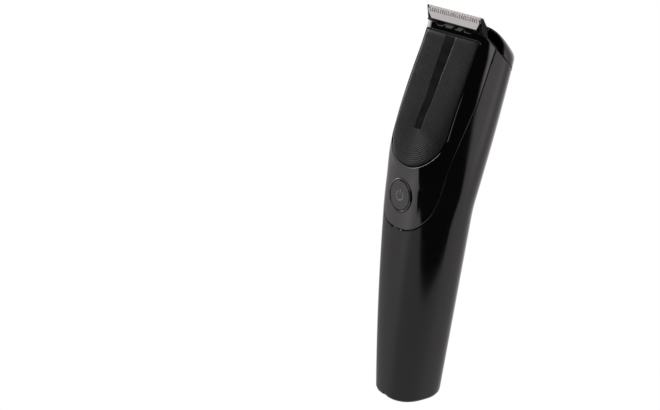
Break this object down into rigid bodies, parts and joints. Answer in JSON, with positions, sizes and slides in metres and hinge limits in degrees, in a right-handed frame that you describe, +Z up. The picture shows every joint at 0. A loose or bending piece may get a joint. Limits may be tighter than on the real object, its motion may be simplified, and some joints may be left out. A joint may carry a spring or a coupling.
{
  "type": "hair clipper",
  "caption": "Cordless hair clipper that leans back above a slim handle, with a round power button, a ribbed front panel and a toothed steel blade head.",
  "frame": {"origin": "centre of the flat base, at the mouth of the charging socket", "axes": "+Z up along the lower handle, -Y out of the front with the power button, +X to the side that is on the right when the front is seen"},
  "size_m": [0.0396, 0.0471, 0.168],
  "materials": {
    "black_satin_plastic": "satin",
    "black_gloss_plastic": "gloss",
    "black_matte_plastic": "matte, finely ribbed on the front panel",
    "switch_plastic": "matte",
    "pale_plastic": "natural acetal",
    "board": "solder mask",
    "chip_plastic": "moulded",
    "cell_wrap": "shrink sleeve over a metal can",
    "nickel": "plated",
    "wire_skin": "silicone sleeve",
    "steel": "machined",
    "blade_steel": "ground",
    "motor_steel": "zinc plated",
    "magnet": "sintered ferrite",
    "bronze": "sintered",
    "winding": "enamelled copper on steel plates"
  },
  "bodies": {
    "handle": {"rear_housing": "black_satin_plastic", "front_cover": "black_gloss_plastic", "front_panel": "black_matte_plastic", "rear_grip": "black_matte_plastic", "button_bezel": "black_gloss_plastic", "tact_switch": "switch_plastic", "circuit_board": "board", "board_components": "chip_plastic", "battery_cell": "cell_wrap", "battery_tabs": "nickel", "battery_leads": "wire_skin", "charge_leads": "wire_skin", "motor_leads": "wire_skin", "chassis": "black_matte_plastic", "chassis_screws": "steel", "case_screws": "steel", "charge_socket": "switch_plastic", "socket_pin": "nickel", "motor_can": "motor_steel", "motor_magnets": "magnet", "motor_end_cap": "pale_plastic", "motor_bearings": "bronze", "motor_terminals": "bronze", "motor_bracket": "motor_steel", "bracket_screws": "steel", "mouth_cover": "black_matte_plastic"},
    "button": {"power_button": "black_satin_plastic"},
    "plunger": {"switch_plunger": "pale_plastic"},
    "rotor": {"motor_armature": "winding", "motor_shaft": "steel", "eccentric_cam": "pale_plastic", "drive_pin": "steel"},
    "head": {"head_base": "black_matte_plastic", "head_hood": "black_satin_plastic", "head_latches": "black_matte_plastic", "comb_blade": "blade_steel", "blade_screws": "steel", "tension_spring": "steel"},
    "cutter": {"cutter_blade": "blade_steel", "drive_fork": "pale_plastic"}
  },
  "joints": [
    {"name": "button_press", "type": "slide", "parent": "handle", "child": "button", "axis": [0, 0.9991, -0.0431], "range_m": [0, 0.0005], "stiffness_N_per_m": 3000},
    {"name": "plunger_press", "type": "slide", "parent": "handle", "child": "plunger", "axis": [0, 0.9991, -0.0431], "range_m": [0, 0.0005]},
    {"name": "rotor_spin", "type": "hinge", "parent": "handle", "child": "rotor", "pos_m": [0, 0.01435, 0.1378], "axis": [0, 0.3396, 0.9406], "range_deg": [-90, 90]},
    {"name": "head_lift", "type": "slide", "parent": "handle", "child": "head", "axis": [0, 0.3396, 0.9406], "range_m": [0, 0.022]},
    {"name": "cutter_slide", "type": "slide", "parent": "head", "child": "cutter", "axis": [1, 0, 0], "range_m": [-0.0008, 0.0008]}
  ],
  "couplings": [
    {"joint": "plunger_press", "follows": "button_press", "ratio": 1},
    {"joint": "cutter_slide", "follows": "rotor_spin", "m_per_rad": -0.00050924}
  ]
}
